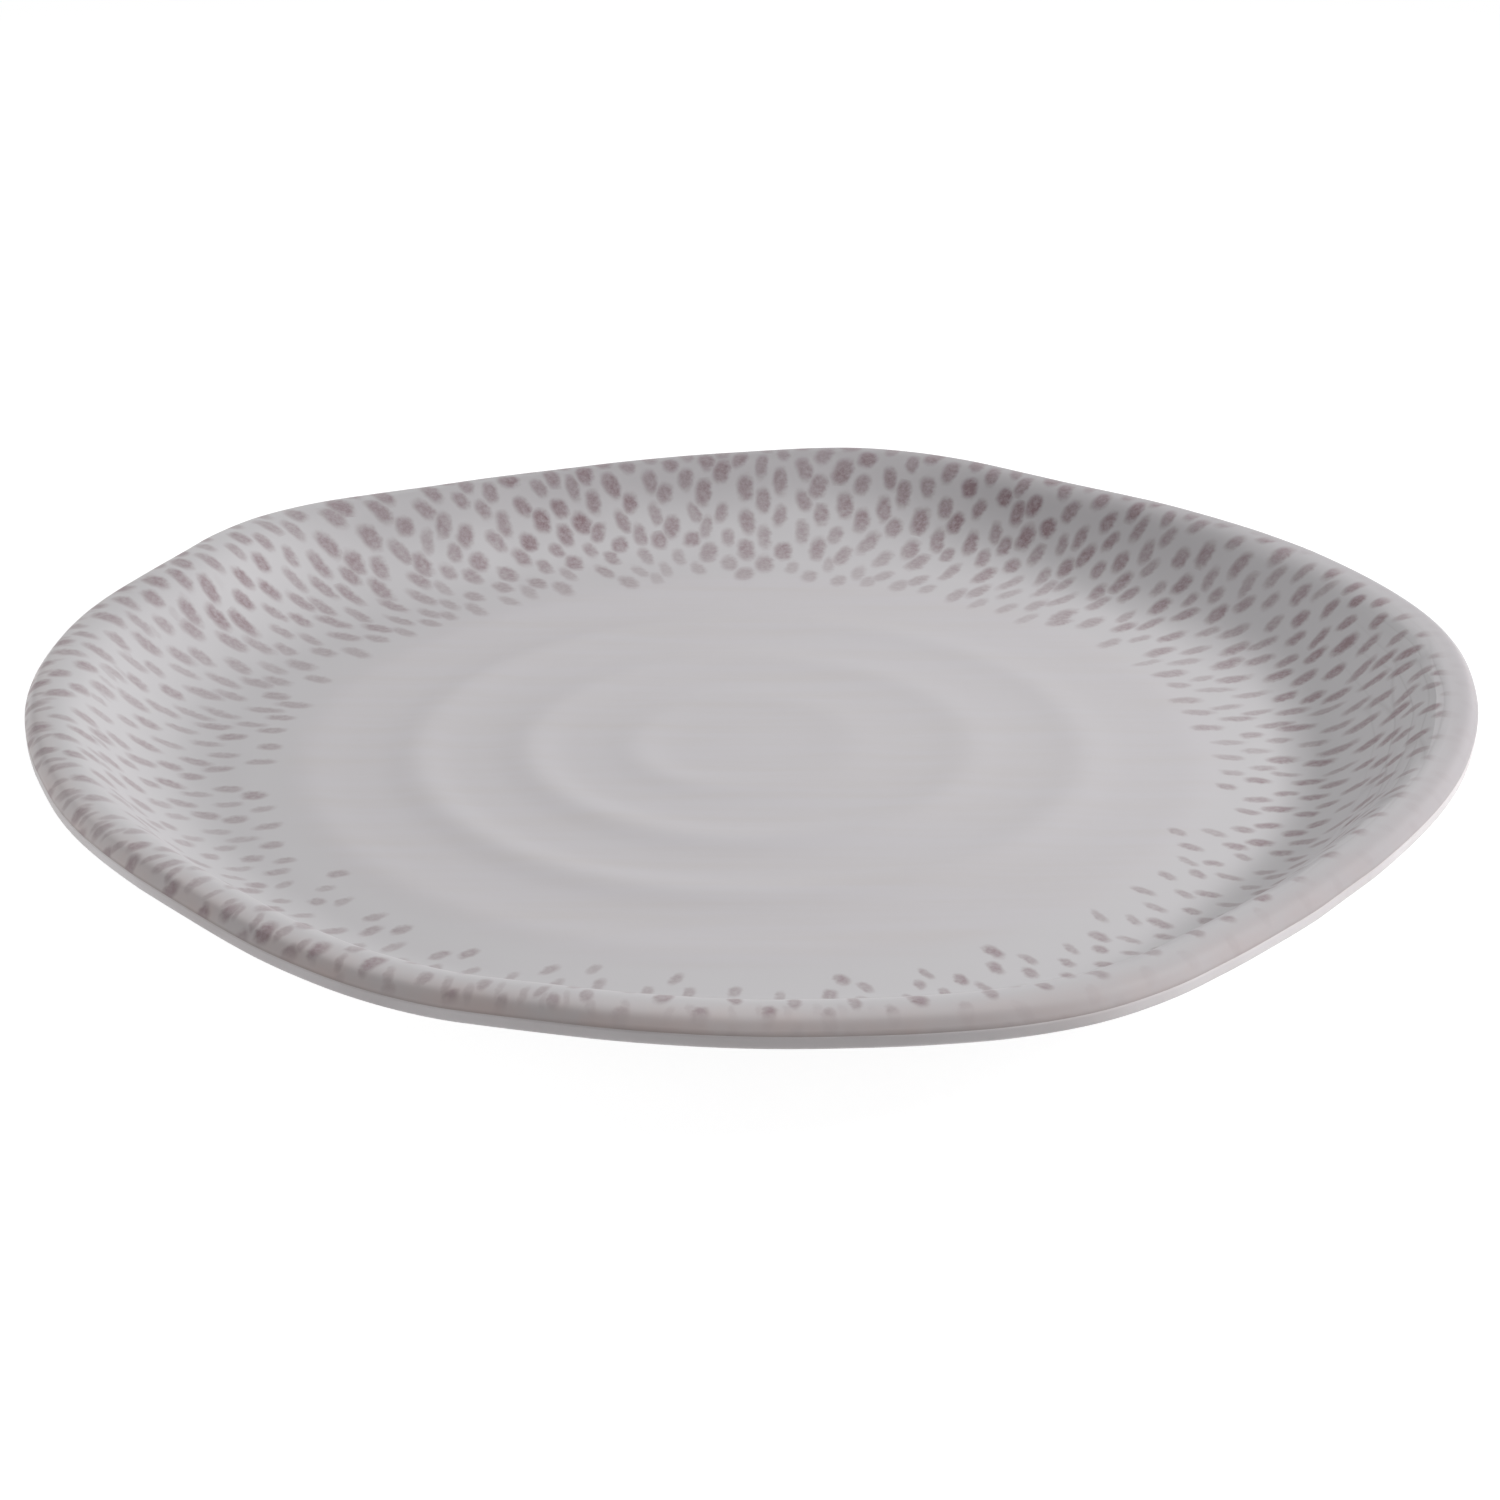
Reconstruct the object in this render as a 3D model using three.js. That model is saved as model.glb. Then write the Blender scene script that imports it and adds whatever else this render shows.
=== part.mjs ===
// A shallow dinner plate in moulded melamine, with a hand-shaped rim and throwing rings in the well.
// Three layers are pressed together in one mould: an opaque moulded body with its foot ring, a printed
// foil laid over the whole upper face, and a clear glaze coat that seals the foil to the body.
// Millimetres, +Z up. The origin is the centre of the foot ring, on the table.
import * as THREE from "three";
import { mergeGeometries, mergeVertices } from "three/addons/utils/BufferGeometryUtils.js";

// Driving dimensions: the rim
const plateRadius = 135; // mean radius of the outer edge
const lipWidth = 5; // rolled lip, from the crest of the wall to the outer edge
const wellDepth = 15.8; // floor to crest
const lipDroop = 35; // degrees, slope of the lip where it reaches the edge
const upperCorner = 1.1; // rounding from the lip's face to its flank
const lowerCorner = 0.9; // rounding from the flank to the underside
const edgeSwing = 6; // how far the hand-shaped edge wanders in and out
const edgeLift = 2; // how far it wanders up and down

// Driving dimensions: the well
const wallRun = 31; // sloping wall in plan, from the floor to the crest
const wallFoot = 19; // length of the soft turn from floor to wall
const wallHead = 10.5; // length of the turn from wall to crest
const ringPitch = 21.2; // throwing rings, from one crest to the next
const ringHeight = 0.35; // a ring's crest above the floor
const ringShiftX = -1.2; // the rings sit a little off the plate's centre
const ringShiftY = 0.6;

// Driving dimensions: layers and foot
const thickness = 3.4; // the whole plate, all layers together
const foilThickness = 0.15; // printed foil
const glazeThickness = 0.25; // clear coat over the foil
const footInset = 14; // middle of the foot ring, inside the edge of the floor
const footWidth = 4; // flat width of the foot ring
const footHeight = 2; // foot ring below the plate's underside
const footDraft = 1; // how much wider the foot is at its root, on each side
const footEasing = 0.4; // broken edges of the foot ring
const recessHeight = 1.4; // table to the bare disc inside the foot ring

// Facets
const turnSteps = 64; // around the plate
const wallSteps = 5; // floor to crest
const lipSteps = 2; // crest to edge
const cornerSteps = 3; // upper corner, where the layers end, and lower corner

// Hand-shaped edge, read counter-clockwise from +X: at an angle in degrees the edge
// reaches out or in by a share of edgeSwing, and rises or sinks by a share of edgeLift.
const edgeStations = [
  { at: 0, reach: 0.5, lift: 0.2 },
  { at: 18, reach: 0.9, lift: -0.3 },
  { at: 40, reach: -0.1, lift: 0.15 },
  { at: 57, reach: -0.35, lift: -0.05 },
  { at: 77, reach: 0.65, lift: 0.05 },
  { at: 92, reach: -0.35, lift: 0 },
  { at: 108, reach: -0.95, lift: -0.05 },
  { at: 124, reach: -0.65, lift: 0 },
  { at: 139, reach: 1, lift: -0.3 },
  { at: 154, reach: 0.4, lift: 0.25 },
  { at: 166, reach: 0.65, lift: -0.25 },
  { at: 181, reach: 0.35, lift: -0.1 },
  { at: 202, reach: -0.4, lift: -0.4 },
  { at: 220, reach: -0.55, lift: 0.6 },
  { at: 245, reach: -0.45, lift: -0.75 },
  { at: 258, reach: -0.05, lift: 0.2 },
  { at: 274, reach: 0.05, lift: 0 },
  { at: 292, reach: 0.5, lift: 0.1 },
  { at: 309, reach: -0.55, lift: -0.2 },
  { at: 327, reach: -0.7, lift: 0.25 },
  { at: 345, reach: -0.2, lift: -0.2 },
];

// Heights and radii that follow from the driving dimensions
const crestRadius = plateRadius - lipWidth;
const wellRadius = crestRadius - wallRun;
const footRadius = wellRadius - footInset;
const undersideZ = footHeight;
const floorZ = undersideZ + thickness;
const crestZ = floorZ + wellDepth;
const droop = THREE.MathUtils.degToRad(lipDroop);
const lipRun = plateRadius - upperCorner * (1 - Math.sin(droop)) - crestRadius;
const lipRadius = lipRun / Math.sin(droop);
const lipNormal = new THREE.Vector2(Math.sin(droop), Math.cos(droop));
const lipCentre = new THREE.Vector2(crestRadius, crestZ - lipRadius);
const lipEnd = lipCentre.clone().addScaledVector(lipNormal, lipRadius);

// Half profile of the upper face, from the axis to the parting line at the top of the flank.
function facePoints() {
  const points = [];
  const ringCount = Math.floor(wellRadius / ringPitch);
  for (let half = 0; half <= 2 * ringCount; half++) {
    const onCrest = half > 0 && half % 2 === 0;
    points.push(new THREE.Vector2((half * ringPitch) / 2, floorZ + (onCrest ? ringHeight : 0)));
  }
  const turnUp = new THREE.CubicBezierCurve(
    new THREE.Vector2(wellRadius, floorZ),
    new THREE.Vector2(wellRadius + wallFoot, floorZ),
    new THREE.Vector2(crestRadius - wallHead, crestZ),
    new THREE.Vector2(crestRadius, crestZ),
  );
  const corner = lipEnd.clone().addScaledVector(lipNormal, -upperCorner);
  points.push(...turnUp.getPoints(wallSteps));
  points.push(...arc(lipCentre, lipRadius, Math.PI / 2, Math.PI / 2 - droop, lipSteps).slice(1));
  points.push(...arc(corner, upperCorner, Math.PI / 2 - droop, 0, cornerSteps).slice(1));
  return points;
}

// Points along an arc that runs clockwise.
function arc(centre, radius, from, to, steps) {
  return new THREE.EllipseCurve(centre.x, centre.y, radius, radius, from, to, true).getPoints(steps);
}

// The upper face sunk by a depth along its own normal, point for point, so that two layers
// that meet share the very same points.
const face = facePoints();
function faceSunk(depth) {
  return face.map((point, i) => {
    const before = face[Math.max(i - 1, 0)];
    const after = face[Math.min(i + 1, face.length - 1)];
    const along = after.clone().sub(before).normalize();
    const normal = new THREE.Vector2(-along.y, along.x);
    if (i === 0) normal.set(0, 1);
    if (i === face.length - 1) normal.set(1, 0);
    return point.clone().addScaledVector(normal, -depth);
  });
}

// Revolves a stretch of the half profile, listed from the upper face round to the underside,
// and bends the sheet into its hand-shaped form.
function sheet(profile) {
  const geometry = new THREE.LatheGeometry([...profile].reverse(), turnSteps).rotateX(Math.PI / 2);
  geometry.deleteAttribute("normal");
  geometry.deleteAttribute("uv");
  const position = geometry.getAttribute("position");
  const point = new THREE.Vector3();
  for (let i = 0; i < position.count; i++) {
    position.setXYZ(i, ...shapedByHand(point.fromBufferAttribute(position, i)));
  }
  return geometry;
}

// The same sheet seen by the layer on its other side.
function backOf(geometry) {
  const back = geometry.clone();
  back.setIndex([...geometry.index.array].reverse());
  return back;
}

// Where a point of the round plate ends up once its rim is pushed about.
const fullTurns = [-360, 0, 360];
const stations = fullTurns.flatMap((turn) => edgeStations.map((s) => ({ ...s, at: s.at + turn })));
const edgeShape = new THREE.CubicInterpolant(
  stations.map((s) => s.at),
  stations.flatMap((s) => [s.reach, s.lift]),
  2,
);
function shapedByHand(point) {
  const radius = Math.hypot(point.x, point.y);
  const angle = THREE.MathUtils.radToDeg(Math.atan2(point.y, point.x));
  const [reach, lift] = edgeShape.evaluate(angle);
  const onRim = THREE.MathUtils.smoothstep(radius, wellRadius, plateRadius);
  const onFloor = 1 - THREE.MathUtils.smoothstep(radius, 0, footRadius - footWidth);
  const stretch = radius > 0 ? 1 + (edgeSwing * reach * onRim) / radius : 1;
  return [
    point.x * stretch + ringShiftX * onFloor,
    point.y * stretch + ringShiftY * onFloor,
    point.z + edgeLift * lift * onRim,
  ];
}

// The sheets between the layers. The foil stops one step short of the parting line, and the
// glaze reaches down past the foil's cut edge and seals to the body, ending on a small ledge.
const foilFace = faceSunk(glazeThickness).slice(0, -1);
const bodyFace = faceSunk(glazeThickness + foilThickness);
const foilBed = bodyFace.slice(0, -1);
const glazeTop = sheet(face);
const foilTop = sheet(foilFace);
const foilCut = sheet([foilFace.at(-1), foilBed.at(-1)]);
const foilBottom = sheet(foilBed);
const glazeSeal = sheet(bodyFace.slice(-2));
const glazeLedge = sheet([bodyFace.at(-1), face.at(-1)]);

// Underside of the body: the flank, a lower corner that runs into the even wall under the rim,
// and the foot ring with eased edges round a shallow recess.
function undersidePoints() {
  const rimRows = wallSteps + lipSteps;
  const underRim = faceSunk(thickness).slice(-(rimRows + cornerSteps + 1), -(cornerSteps + 1)).reverse();
  const underLip = lipEnd.clone().addScaledVector(lipNormal, -thickness);
  const cornerX = plateRadius - lowerCorner;
  const cornerDrop = (lowerCorner - lipNormal.x * (cornerX - underLip.x)) / lipNormal.y;
  const corner = new THREE.Vector2(cornerX, underLip.y + cornerDrop);
  const outer = footRadius + footWidth / 2;
  const inner = footRadius - footWidth / 2;
  return [
    face.at(-1),
    ...arc(corner, lowerCorner, 0, -Math.PI / 2 - droop, cornerSteps),
    ...underRim,
    new THREE.Vector2(outer + footDraft, undersideZ),
    new THREE.Vector2(outer, footEasing),
    new THREE.Vector2(outer - footEasing, 0),
    new THREE.Vector2(inner + footEasing, 0),
    new THREE.Vector2(inner, footEasing),
    new THREE.Vector2(inner - footDraft, recessHeight),
    new THREE.Vector2(0, recessHeight),
  ];
}

function piece(name, sheets, finish) {
  const geometry = mergeVertices(mergeGeometries(sheets));
  geometry.computeVertexNormals();
  const mesh = new THREE.Mesh(geometry, new THREE.MeshStandardMaterial(finish));
  mesh.name = name;
  return mesh;
}

const body = piece("moulded_body", [foilBottom, glazeSeal, glazeLedge, sheet(undersidePoints())], {
  color: 0xe4e2e1,
  roughness: 0.35,
  metalness: 0,
});

const foil = piece("printed_foil", [foilTop, foilCut, backOf(foilBottom)], {
  color: 0xd6d2d1,
  roughness: 0.6,
  metalness: 0,
});

const glaze = piece(
  "clear_glaze",
  [glazeTop, backOf(glazeLedge), backOf(glazeSeal), backOf(foilCut), backOf(foilTop)],
  { color: 0xf4f3f1, roughness: 0.12, metalness: 0, transparent: true, opacity: 0.2 },
);

const plate = new THREE.Group();
plate.name = "melamine_plate";
plate.add(body, foil, glaze);

export default plate;
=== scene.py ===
import math

import bpy
import numpy as np
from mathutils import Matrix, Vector, noise


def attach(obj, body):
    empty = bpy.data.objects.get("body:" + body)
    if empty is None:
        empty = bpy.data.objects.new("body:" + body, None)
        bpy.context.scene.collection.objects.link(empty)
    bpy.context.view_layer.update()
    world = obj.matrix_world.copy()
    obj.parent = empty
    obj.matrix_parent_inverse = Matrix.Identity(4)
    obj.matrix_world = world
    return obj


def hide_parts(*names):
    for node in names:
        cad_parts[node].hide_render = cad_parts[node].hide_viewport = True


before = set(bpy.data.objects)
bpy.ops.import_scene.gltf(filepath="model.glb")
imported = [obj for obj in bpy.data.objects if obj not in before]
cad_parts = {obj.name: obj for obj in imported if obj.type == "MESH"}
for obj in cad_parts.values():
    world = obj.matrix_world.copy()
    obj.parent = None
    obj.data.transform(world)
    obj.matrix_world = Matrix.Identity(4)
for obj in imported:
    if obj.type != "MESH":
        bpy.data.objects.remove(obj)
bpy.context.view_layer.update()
scene = bpy.context.scene
mm = 0.001
fullTurn = 2 * math.pi
print("frame loaded:", ", ".join(sorted(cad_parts)))


def linear(hexColour):
    channels = [int(hexColour[i:i + 2], 16) / 255 for i in (1, 3, 5)]
    return [c / 12.92 if c <= 0.04045 else ((c + 0.055) / 1.055) ** 2.4 for c in channels] + [1]


# a node with its settings and what goes into its sockets: a value, another node or one of its outputs
def addNode(tree, kind, settings, inputs):
    node = tree.nodes.new("ShaderNode" + kind)
    for name, value in settings.items():
        setattr(node, name, value)
    for key, value in inputs.items():
        if isinstance(value, bpy.types.Node):
            value = value.outputs[0]
        if isinstance(value, bpy.types.NodeSocket):
            tree.links.new(value, node.inputs[key])
        else:
            node.inputs[key].default_value = value
    return node


def newMaterial(name):
    material = bpy.data.materials.new(name)
    material.use_nodes = True
    tree = material.node_tree
    tree.nodes.clear()
    return material, tree


# the plate in millimetres; its lip and throwing rings are a little fuller than the CAD's
plate = {
    "edgeRadius": 135,
    "lipWidth": 5,
    "wellDepth": 15.8,
    "lipDroop": math.radians(35),
    "upperCorner": 1.1,
    "lipFlat": 3.4,  # how far the crest stays flat before it bends over
    "shoulderSlope": math.radians(50),  # printed shoulder from the bend to the last turn
    "shoulderLength": 1.8,
    "lastTurn": (0.25, 0.6),  # from the shoulder into the flank at the parting line, in and up
    "lastTurnPulls": ((0.1, 0.4), (0, 0.25)),  # its two handles: mm in, and up as a share of its height
    "partingDrop": 0.3,
    "lowerCorner": 0.9,
    "wallRun": 31,
    "wallFoot": 20,
    "wallHead": 8.2,  # turns over more tightly below the crest than the CAD's wall
    "ringPitch": 21.2,
    "ringHeights": (0.5, 0.78, 0.85, 0.36),  # from the middle outwards
    "ringSwing": (0.55, 0.6),  # how much lower a ring is opposite its highest turn, and that turn
    "ringSoftness": 4.6,  # half width of a throwing ring
    "ringShift": (-1.2, 0.6),
    "ringWobble": 1.6,  # how far a ring strays from its circle
    "wobbleWaves": (1.2, 30),  # how many to a radian, and mm across the rings
    "wobbleFrom": 15,  # the very middle runs true
    "ripples": ((0.2, 17, 17), (0.16, 8, 6), (0.26, 34, 8)),  # finger marks: height, length round and across
    "rippleStart": (-6, 18),  # where they fade in, from the edge of the floor
    "rippleEnd": (-6, -0.5),  # where they fade out, from the crest
    "nicks": (0.7, 5, 8.3),  # small flats along the edge: depth, how many to a radian, place in the noise
    "edgeTrim": (0.3, 0.03),  # in and down, keeps the smooth edge inside the CAD model's box
    "thickness": 3.4,
    "printDepth": 0.4,  # foil and glaze together
    "footInset": 14,
    "footWidth": 4,
    "footHeight": 2,
    "footDraft": 1,
    "footEasing": 0.4,
    "footRoot": (1, 0.15),  # soft turn where the foot leaves the underside: run and drop
    "footSide": (0.3, 0.75),  # a point low on its outer side: out and up
    "recessHeight": 1.4,
    "recessTurn": (0.6, 0.2, 0.4, 4),  # inside it: share of the draft, drop, run, and where the disc begins
    "columns": 384,
    "cadColumns": 64,
    "faceSteps": (60, 42, 20, 6),  # floor, wall, lip and last turn
    "underSteps": {"round": 8, "flank": 3, "root": 4, "side": 2, "easing": 4, "standing": 5, "recess": 29},
    "bakeShown": (0.5, 0.48),  # middle and half width of the shown side on the square that is baked
    "bakeHidden": (0.06, 0.04),
}
crestRadius = plate["edgeRadius"] - plate["lipWidth"]
wellRadius = crestRadius - plate["wallRun"]
footRadius = wellRadius - plate["footInset"]
floorZ = plate["footHeight"] + plate["thickness"]
crestZ = floorZ + plate["wellDepth"]
droop = plate["lipDroop"]
lipRun = plate["lipWidth"] - plate["upperCorner"] * (1 - math.sin(droop))
lipRadius = lipRun / math.sin(droop)
lipNormal = np.array([math.sin(droop), math.cos(droop)])
lipEnd = np.array([crestRadius, crestZ - lipRadius]) + lipNormal * lipRadius
upperCentre = lipEnd - lipNormal * plate["upperCorner"]
partingZ = upperCentre[1] - plate["partingDrop"]
floorSteps, wallSteps, lipSteps, lastTurnSteps = plate["faceSteps"]


def arc(centre, radius, start, end, steps):
    angles = np.linspace(start, end, steps + 1)
    return np.column_stack([centre[0] + radius * np.cos(angles), centre[1] + radius * np.sin(angles)])


def smoothstep(x, low, high):
    t = np.clip((np.asarray(x, float) - low) / (high - low), 0, 1)
    return t * t * (3 - 2 * t)


# points along a curve after its first one
def bezier(points, steps):
    a, b, c, d = [np.array(p, float) for p in points]
    t = np.linspace(0, 1, steps + 1)[1:, None]
    return (1 - t) ** 3 * a + 3 * (1 - t) ** 2 * t * b + 3 * (1 - t) * t * t * c + t ** 3 * d


# half profile of the printed face, from the middle to the parting line
def faceProfile():
    radii = np.linspace(0, wellRadius, floorSteps + 1)
    floor = np.column_stack([radii, np.full(len(radii), float(floorZ))])
    wall = bezier([(wellRadius, floorZ), (wellRadius + plate["wallFoot"], floorZ),
                   (crestRadius - plate["wallHead"], crestZ), (crestRadius, crestZ)], wallSteps)
    run, rise = plate["lastTurn"]
    slope = plate["shoulderSlope"]
    foot = np.array([plate["edgeRadius"] - run, partingZ + rise])
    head = foot + plate["shoulderLength"] * np.array([-math.cos(slope), math.sin(slope)])
    lip = bezier([(crestRadius, crestZ), (crestRadius + plate["lipFlat"], crestZ), head, foot], lipSteps)
    pulls = [(plate["edgeRadius"] - inset, partingZ + share * rise)
             for inset, share in plate["lastTurnPulls"]]
    lastTurn = bezier([foot, *pulls, (plate["edgeRadius"], partingZ)], lastTurnSteps)
    return np.vstack([floor, wall, lip, lastTurn])


face = faceProfile()
wallRows = slice(floorSteps, floorSteps + wallSteps)  # of the face, from the edge of the floor to the crest
along = np.concatenate([[0], np.cumsum(np.hypot(*np.diff(face, axis=0).T))])  # mm from the middle
faceLength = along[-1]


# the face sunk by a depth along its own normal
def faceSunk(depth):
    run = np.gradient(face, axis=0)
    normal = np.column_stack([-run[:, 1], run[:, 0]]) / np.hypot(*run.T)[:, None]
    normal[0] = 0, 1
    normal[-1] = 1, 0
    return face - depth * normal


turns = np.arange(plate["columns"]) / plate["columns"]
facing = np.column_stack([np.cos(fullTurn * turns), np.sin(fullTurn * turns)])


# smooth noise once round the plate, with so many waves to a radian
def noiseRound(waves, depth):
    return np.array([noise.noise(Vector((*(waves * direction), depth))) for direction in facing])


# the hand-shaped edge, read from the CAD glaze column by column, and drawn as a smooth closed line
def edgeShape():
    points = np.array([v.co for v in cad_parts["clear_glaze"].data.vertices]) / mm
    radius = np.hypot(points[:, 0], points[:, 1])
    count = plate["cadColumns"]
    column = np.round(np.arctan2(points[:, 1], points[:, 0]) / fullTurn * count) % count
    rim = np.array([points[column == k][np.argmax(radius[column == k])] for k in range(count)])
    reach = np.hypot(rim[:, 0], rim[:, 1]) - plate["edgeRadius"]
    values = np.column_stack([reach, rim[:, 2] - upperCentre[1]]) - plate["edgeTrim"]
    place = np.arange(plate["columns"]) * count / plate["columns"]
    k = place.astype(int)
    t = (place - k)[:, None]
    p, q, r, s = [values[(k + step) % count] for step in (-1, 0, 1, 2)]
    shape = q + t / 2 * (r - p + t * (2 * p - 5 * q + 4 * r - s + t * (3 * q - p - 3 * r + s)))
    depth, often, noisePlace = plate["nicks"]
    shape[:, 0] -= depth * np.maximum(noiseRound(often, noisePlace), 0)
    return shape


edge = edgeShape()


# where the points of one row end up once the rim is pushed about by hand
def shapedRow(radius, height, rippled):
    onRim = smoothstep(radius, wellRadius, plate["edgeRadius"])
    onFloor = 1 - smoothstep(radius, 0, footRadius - plate["footWidth"])
    reach = radius + edge[:, 0] * onRim
    row = np.column_stack([facing * reach[:, None], height + edge[:, 1] * onRim])
    row[:, :2] += np.array(plate["ringShift"]) * onFloor
    waves, spacing = plate["wobbleWaves"]
    wobble = plate["ringWobble"] * noiseRound(waves, radius / spacing)
    row[:, :2] += facing * (wobble * smoothstep(radius, 0, plate["wobbleFrom"]) * onFloor)[:, None]
    if rippled:
        fadeIn = [wellRadius + beyond for beyond in plate["rippleStart"]]
        fadeOut = [crestRadius + beyond for beyond in plate["rippleEnd"]]
        marks = smoothstep(radius, *fadeIn) * (1 - smoothstep(radius, *fadeOut))
        for rippleHeight, length, across in plate["ripples"]:
            row[:, 2] += rippleHeight * marks * noiseRound(crestRadius / length, radius / across)
        swing, highest = plate["ringSwing"]
        share = 1 - swing * (1 - np.cos(fullTurn * (turns - highest))) / 2
        for k, ringHeight in enumerate(plate["ringHeights"]):
            away = (radius - (k + 1) * plate["ringPitch"]) / plate["ringSoftness"]
            row[:, 2] += ringHeight * math.exp(-away ** 2) * share
    return row


# turns a half profile that starts and ends on the axis into one closed skin
def revolve(name, rows, outward, hidden):
    columns = plate["columns"]
    points = np.vstack([shapedRow(*row) for row in rows])
    first = points[:columns].mean(0)
    last = points[-columns:].mean(0)
    points = np.vstack([points[columns:-columns], first, last])
    rings = len(rows) - 2
    here = np.arange(columns)
    there = (here + 1) % columns
    top, bottom = len(points) - 2, len(points) - 1
    grid = (np.arange(rings - 1) * columns)[:, None]
    quads = np.stack([grid + here, grid + columns + here, grid + columns + there, grid + there], axis=2)
    quads = quads.reshape(-1, 4)
    lastRing = (rings - 1) * columns
    fans = [(top, h, t) for h, t in zip(here, there)]
    fans += [(lastRing + h, bottom, lastRing + t) for h, t in zip(here, there)]
    mesh = bpy.data.meshes.new(name)
    mesh.from_pydata((points * mm).tolist(), [], quads.tolist() + fans)
    mesh.polygons.foreach_set("use_smooth", [True] * len(mesh.polygons))

    cornerVertex = np.empty(len(mesh.loops), int)
    mesh.loops.foreach_get("vertex_index", cornerVertex)
    faceSize = np.array([4] * len(quads) + [3] * len(fans))
    lead = np.concatenate([np.tile(here, rings - 1), here, here])  # first column of each face
    lead = np.repeat(lead, faceSize)
    column = cornerVertex % columns
    u = np.where((column == 0) & (lead == columns - 1), columns, column) / columns
    u = np.where(cornerVertex >= top, (lead + 0.5) / columns, u)
    v = np.concatenate([np.repeat(outward[1:-1], columns), [outward[0], outward[-1]]])[cornerVertex]
    place = mesh.uv_layers.new(name="roundAndOut")  # u once round the plate, v out along the face
    place.uv.foreach_set("vector", np.column_stack([u, v]).astype(np.float32).ravel())

    row = np.concatenate([np.repeat(np.arange(1, rings + 1), columns), [0, rings + 1]])[cornerVertex]
    startRow = np.concatenate([np.repeat(np.arange(1, rings), columns), [0] * columns, [rings] * columns])
    outOfSight = np.repeat(hidden[startRow] | hidden[startRow + 1], faceSize)[:, None]
    disc = np.asarray(outward)[row][:, None] * facing[column]
    shownMiddle, shownHalf = plate["bakeShown"]
    hiddenMiddle, hiddenHalf = plate["bakeHidden"]
    disc = np.where(outOfSight, hiddenMiddle + hiddenHalf * disc, shownMiddle + shownHalf * disc)
    layout = mesh.uv_layers.new(name="OFBake")  # shown side spread as a disc, hidden side in a corner
    layout.uv.foreach_set("vector", disc.astype(np.float32).ravel())
    mesh.validate()
    piece = bpy.data.objects.new(name, mesh)
    scene.collection.objects.link(piece)
    return piece


bed = faceSunk(plate["printDepth"])  # where foil and body meet
fineFrom = len(face) - lastTurnSteps
keep = np.concatenate([np.arange(0, fineFrom, 2), np.arange(fineFrom, len(face))])  # coarser where hidden


# foil and glaze pressed into one skin
def makePrintedFace():
    rows = [(r, z, True) for r, z in face] + [(r, z, True) for r, z in bed[keep][::-1]]
    outward = np.concatenate([along, along[keep][::-1]]) / faceLength
    return revolve("glazedPrint", rows, outward, np.arange(len(rows)) >= len(face))


# the flank, a lower corner into the even wall under the rim, and the foot ring round a shallow recess
def makeBody():
    steps = plate["underSteps"]
    quarter = math.pi / 2
    underLip = lipEnd - lipNormal * plate["thickness"]
    lipArc = arc((crestRadius, crestZ - lipRadius), lipRadius - plate["thickness"],
                 quarter - droop, quarter, steps["round"])
    underRim = np.vstack([lipArc, faceSunk(plate["thickness"])[wallRows][::-1]])
    cornerX = plate["edgeRadius"] - plate["lowerCorner"]
    drop = (plate["lowerCorner"] - lipNormal[0] * (cornerX - underLip[0])) / lipNormal[1]
    corner = arc((cornerX, underLip[1] + drop), plate["lowerCorner"], 0, -quarter - droop, steps["round"])
    flank = np.linspace(face[-1], corner[0], steps["flank"] + 1)[1:-1]
    outer = footRadius + plate["footWidth"] / 2
    inner = footRadius - plate["footWidth"] / 2
    ease = plate["footEasing"]
    rootZ, recessZ, draft = plate["footHeight"], plate["recessHeight"], plate["footDraft"]
    rootRun, rootDrop = plate["footRoot"]
    sideOut, sideUp = plate["footSide"]
    draftShare, turnDrop, turnRun, discInset = plate["recessTurn"]
    foot = np.vstack([
        np.linspace((wellRadius, rootZ), (outer + draft + rootRun, rootZ), steps["root"] + 1)[1:],
        [(outer + draft, rootZ - rootDrop)],
        np.linspace((outer + sideOut, sideUp), (outer, ease), steps["side"] + 1),
        arc((outer - ease, ease), ease, 0, -quarter, steps["easing"])[1:],
        np.linspace((outer - ease, 0), (inner + ease, 0), steps["standing"] + 1)[1:],
        arc((inner + ease, ease), ease, -quarter, -math.pi, steps["easing"])[1:],
        [(inner - draft * draftShare, recessZ - turnDrop)],
        [(inner - draft - turnRun, recessZ)],
        np.linspace((inner - discInset, recessZ), (0, recessZ), steps["recess"] + 1),
    ])
    shown = np.vstack([face[-1:], flank, corner, underRim, foot])
    rows = [(r, z, True) for r, z in bed[keep]] + [(r, z, False) for r, z in shown]
    inward = np.concatenate([[0], np.cumsum(np.hypot(*np.diff(shown, axis=0).T))])
    outward = np.concatenate([along[keep] / faceLength, 1 - inward / inward[-1]])
    return revolve("mouldedBody", rows, outward, np.arange(len(rows)) < len(keep))


printedFace = makePrintedFace()
plateBody = makeBody()
print("plate built:", len(printedFace.data.polygons), "faces on the print,",
      len(plateBody.data.polygons), "on the body")

# camera at the photograph's angle
view = {
    "distance": 0.55,  # metres
    "elevation": math.radians(24.2),
    "lens": 68.64,
    "sensor": 36,
    "shift": (-0.0007, -0.004),
    "target": (0, 0, 0.0054),
    "clipStart": 0.01,
}
cameraData = bpy.data.cameras.new("camera")
cameraData.lens = view["lens"]
cameraData.sensor_width = view["sensor"]
cameraData.shift_x, cameraData.shift_y = view["shift"]
cameraData.clip_start = view["clipStart"]
camera = bpy.data.objects.new("camera", cameraData)
towardsCamera = Vector((0, -math.cos(view["elevation"]), math.sin(view["elevation"])))
camera.location = Vector(view["target"]) + view["distance"] * towardsCamera
camera.rotation_euler = (math.pi / 2 - view["elevation"], 0, 0)
scene.collection.objects.link(camera)
scene.camera = camera
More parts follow.
